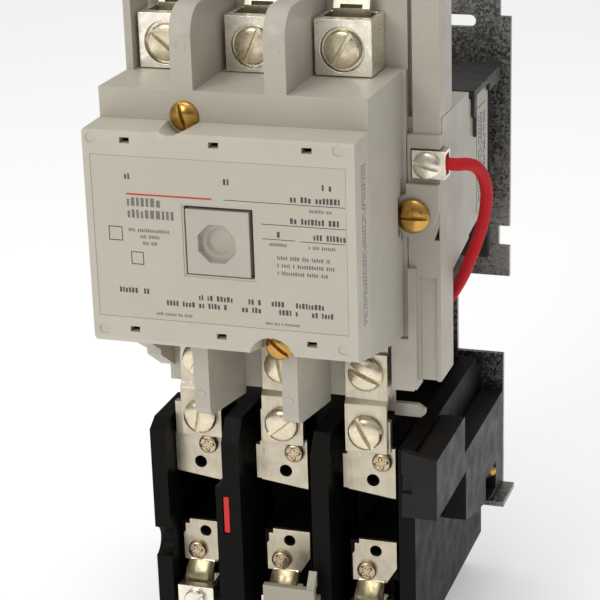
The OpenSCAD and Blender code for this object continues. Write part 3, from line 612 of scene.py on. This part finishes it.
def cover_print():
    """Runs of bars given as (x, height, length), then thin rules, empty squares and the red rule."""
    ink = Piece("cover_print", INK, "nameplate")
    for x, z, length in ((-30, 52.6, 2.6), (2, 52.7, 2.8), (33, 52.8, 2.8)):
        words(ink, x, z, length, 1.9)
    for x, z, length in ((23, 48.7, 15.5), (22.8, 42, 15.5), (18.5, 37.4, 1.2), (30, 37.3, 9.6)):
        words(ink, x, z, length, 1.8)
    for x, z, length in ((-33.7, 16, 6), (-25.6, 16, 1), (-7.5, 15.4, 12), (8.6, 15.3, 4.2), (16, 15.3, 4.2),
                         (23.8, 15.3, 9), (-18.2, 12.8, 9), (-7.6, 12.8, 9), (6.4, 12.7, 5.5),
                         (18.4, 12.7, 5.5), (28.8, 12.7, 6.6)):
        words(ink, x, z, length, 1.7)
    for x, z, length in ((1.8, 47.9, 38.2), (13.6, 41.2, 26.3), (13.8, 36.6, 10.4), (25.8, 36.5, 14)):
        stamp(ink, x, z, x + length, z + 0.22)
    square_frame(ink, -36.2, 32.8, 4.6, 0.3)
    square_frame(ink, -29.2, 25.4, 4.2, 0.3)
    ink.done()

    faint = Piece("cover_small_print", FAINT_INK, "nameplate")
    for x, z, length, height in ((-29.6, 44.2, 10.8, 2.7), (-29.6, 40.4, 14.6, 2.7), (-29.6, 36, 13.4, 1.1),
                                 (-25.8, 34, 6.4, 1.1), (-25, 31.9, 4.6, 1.1), (29, 45.8, 7, 1.0),
                                 (16, 34.6, 5.4, 1.0), (28.4, 34.4, 8.4, 1.0), (18.3, 30.4, 16.6, 1.2),
                                 (18.3, 28, 18, 1.2), (18.3, 25.6, 16, 1.2), (-21.7, 9.4, 11.8, 0.9),
                                 (14, 9.3, 10.8, 0.8)):
        words(faint, x, z, length, height)
    faint.done()

    red = Piece("cover_red_rule", RED_INK, "nameplate")
    stamp(red, -29.7, 47.7, -2, 48.25, 0.03)
    red.done(edge=0.005 * MM)


def bar_columns(piece, side, columns, bottom, top, width, runs, gap, word_gap, chance):
    """Columns of fine upright bars of uneven length on a face that looks right, broken into words."""
    for y in columns:
        z = bottom
        while z < top:
            run = random.uniform(*runs)
            low, high = at(0, y, z), at(0, y + width, z + run)
            piece.block((side - 1e-5, low.y, low.z), (side + 2e-5, high.y, high.z))
            z += run + gap + (word_gap if random.random() < chance else 0)


def side_print():
    """Three columns of fine bars down the cover's right side."""
    fine = Piece("side_print", FAINT_INK, "cover_moulding")
    bar_columns(fine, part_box("front_cover")[1].x, (-131.6, -130.1, -128.6), bottom=9.0, top=59, width=0.8,
                runs=(0.5, 1.0), gap=0.35, word_gap=1.0, chance=0.1)
    fine.done()


def label_print():
    """Bars on the coil's paper label."""
    fine = Piece("label_print", INK, "paper_label")
    bar_columns(fine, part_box("coil_label")[1].x, (-34, -32, -30.2, -27, -25.4), bottom=20.0, top=50,
                width=1.0, runs=(0.6, 1.4), gap=0.4, word_gap=1.6, chance=0.12)
    fine.done()


cover_print()
side_print()
label_print()


# ---------- moulding marks, serrations and lug throats ----------

def moulding_marks():
    """Round marks of ejector pins on the fronts of the barriers, the lower two a little smaller."""
    marks = Piece("barrier_marks", MATERIALS["grey_moulding"], "grey_moulding")
    shape = [(0, 0.03), (1.35, 0.03), (1.6, 0.16), (1.9, 0.16), (2.1, -0.1), (0, -0.1)]
    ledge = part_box("arc_box")[0].y / MM
    for x, z in ((-15.5, 91.4), (14.5, 91.6)):
        marks.take(turned([(r * MM, h * MM) for r, h in shape]), front_facing(at(x, ledge, z), 0))
    for x, z in ((-15.6, -24), (14.2, -23.6)):
        marks.take(turned([(r * 0.85 * MM, h * MM) for r, h in shape]), front_facing(at(x, -120, z), 0))
    marks.done(edge=0.03 * MM)


def serrations():
    """Fine ridges along the left edge of the upper heater plates."""
    ridges = Piece("plate_ridges", MATERIALS["tinned"], "tinned")
    pitch, height = 0.62, 0.3
    for name in ("heater_plate_upper_1", "heater_plate_upper_2", "heater_plate_upper_3"):
        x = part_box(name)[1].x / MM - 16.45
        z = -66.0
        while z < -55.6:
            ridges.block(at(x, -88.75, z), at(x + 1.3, -88.5, z + height))
            z += pitch
    ridges.done(edge=0.05 * MM)


def lug_throats():
    """The curved, lipped throat that each lower heater plate sends down into its lug."""
    # the throats' darker metal is painted shade inside the lugs
    throats = Piece("lug_throats", THROAT, "tinned")
    # depth, height, and how far the lips at the sides stand forward
    rows = ((-88.9, -100.6, 0.9), (-90.3, -102.8, 2.1), (-91.8, -105.2, 2.3), (-92.0, -108.4, 1.2))
    across, wide, thick = 12, 4.75, 0.35
    for name in ("heater_plate_lower_1", "heater_plate_lower_2", "heater_plate_lower_3"):
        low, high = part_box(name)
        middle = (low.x + high.x) / 2 / MM - 1.1
        part = bmesh.new()
        grids = []
        for back in (0, thick):
            grid = []
            for y, z, lip in rows:
                ends = [2 * k / across - 1 for k in range(across + 1)]
                grid.append([part.verts.new(at(middle + wide * u, y - lip * u ** 4 + back, z)) for u in ends])
            grids.append(grid)
        last = len(rows) - 1
        for grid in grids:
            for j in range(last):
                for k in range(across):
                    part.faces.new((grid[j][k], grid[j][k + 1], grid[j + 1][k + 1], grid[j + 1][k]))
        front, rear = grids
        for k in (0, across):
            for j in range(last):
                part.faces.new((front[j][k], front[j + 1][k], rear[j + 1][k], rear[j][k]))
        for j in (0, last):
            for k in range(across):
                part.faces.new((front[j][k], front[j][k + 1], rear[j][k + 1], rear[j][k]))
        bmesh.ops.recalc_face_normals(part, faces=part.faces[:])
        throats.take(part, Matrix.Identity(4))
    throats.done(edge=0.08 * MM, smooth=50)


moulding_marks()
serrations()
lug_throats()


# ---------- stage ----------

def area_light(name, place, target, size, power, colour):
    """A soft oblong lamp that faces a target."""
    data = bpy.data.lights.new(name, "AREA")
    data.shape = "RECTANGLE"
    data.size, data.size_y = size
    data.energy = power
    data.color = colour
    light = bpy.data.objects.new(name, data)
    bpy.context.scene.collection.objects.link(light)
    light.location = place
    light.rotation_mode = "QUATERNION"
    light.rotation_quaternion = (Vector(target) - Vector(place)).to_track_quat("-Z", "Y")


def build_sky():
    """A soft studio: bright overhead, dimmer round the sides."""
    world = bpy.data.worlds.new("studio")
    world.use_nodes = True
    tree = world.node_tree
    sky = tree.nodes["Background"]
    place = tree.nodes.new("ShaderNodeTexCoord")
    parts = tree.nodes.new("ShaderNodeSeparateXYZ")
    scale = tree.nodes.new("ShaderNodeMapRange")
    scale.inputs["From Min"].default_value = -1.0
    band = tree.nodes.new("ShaderNodeValToRGB")
    for element, (spot, tone) in zip(
            [band.color_ramp.elements[0], band.color_ramp.elements[1], band.color_ramp.elements.new(0.62)],
            ((0.0, 0.22), (1.0, 1.0), (0.62, 0.25))):
        element.position = spot
        element.color = (tone, tone, tone, 1)
    tree.links.new(place.outputs["Generated"], parts.inputs[0])
    tree.links.new(parts.outputs[2], scale.inputs[0])
    tree.links.new(scale.outputs[0], band.inputs[0])
    tree.links.new(band.outputs[0], sky.inputs[0])
    sky.inputs[1].default_value = 0.78
    bpy.context.scene.world = world


def build_stage():
    """A pale floor under the object, the sky, and three soft lamps."""
    floor_z = CAD_LOW.z
    reach = 6.0
    mesh = bpy.data.meshes.new("floor")
    mesh.from_pydata([(-reach, -reach, floor_z), (reach, -reach, floor_z), (reach, reach, floor_z),
                      (-reach, reach, floor_z)], [], [(0, 1, 2, 3)])
    floor = bpy.data.objects.new("floor", mesh)
    bpy.context.scene.collection.objects.link(floor)
    paint = Paint("pale_floor", (0.95, 0.95, 0.95), roughness=0.8, Emission_Color=(1, 1, 1, 1),
                  Emission_Strength=0.3)
    paint.link(paint.ramp(paint.noise(3, 3), [(0.3, 0.94), (0.7, 0.96)]), "Base Color")
    floor.data.materials.append(paint.material)
    build_sky()
    middle = (0, -0.08, 0)
    area_light("key", (-0.5, -1.2, 0.7), middle, (0.6, 0.6), 6.0, (1.0, 0.985, 0.95))
    area_light("top", (-0.1, -0.2, 1.3), middle, (0.9, 0.7), 3.8, (1.0, 0.99, 0.97))
    area_light("rim", (1.1, 0.5, 0.5), middle, (0.5, 0.8), 0.25, (0.93, 0.95, 1.0))
    bpy.context.scene.view_settings.view_transform = "Standard"


build_stage()
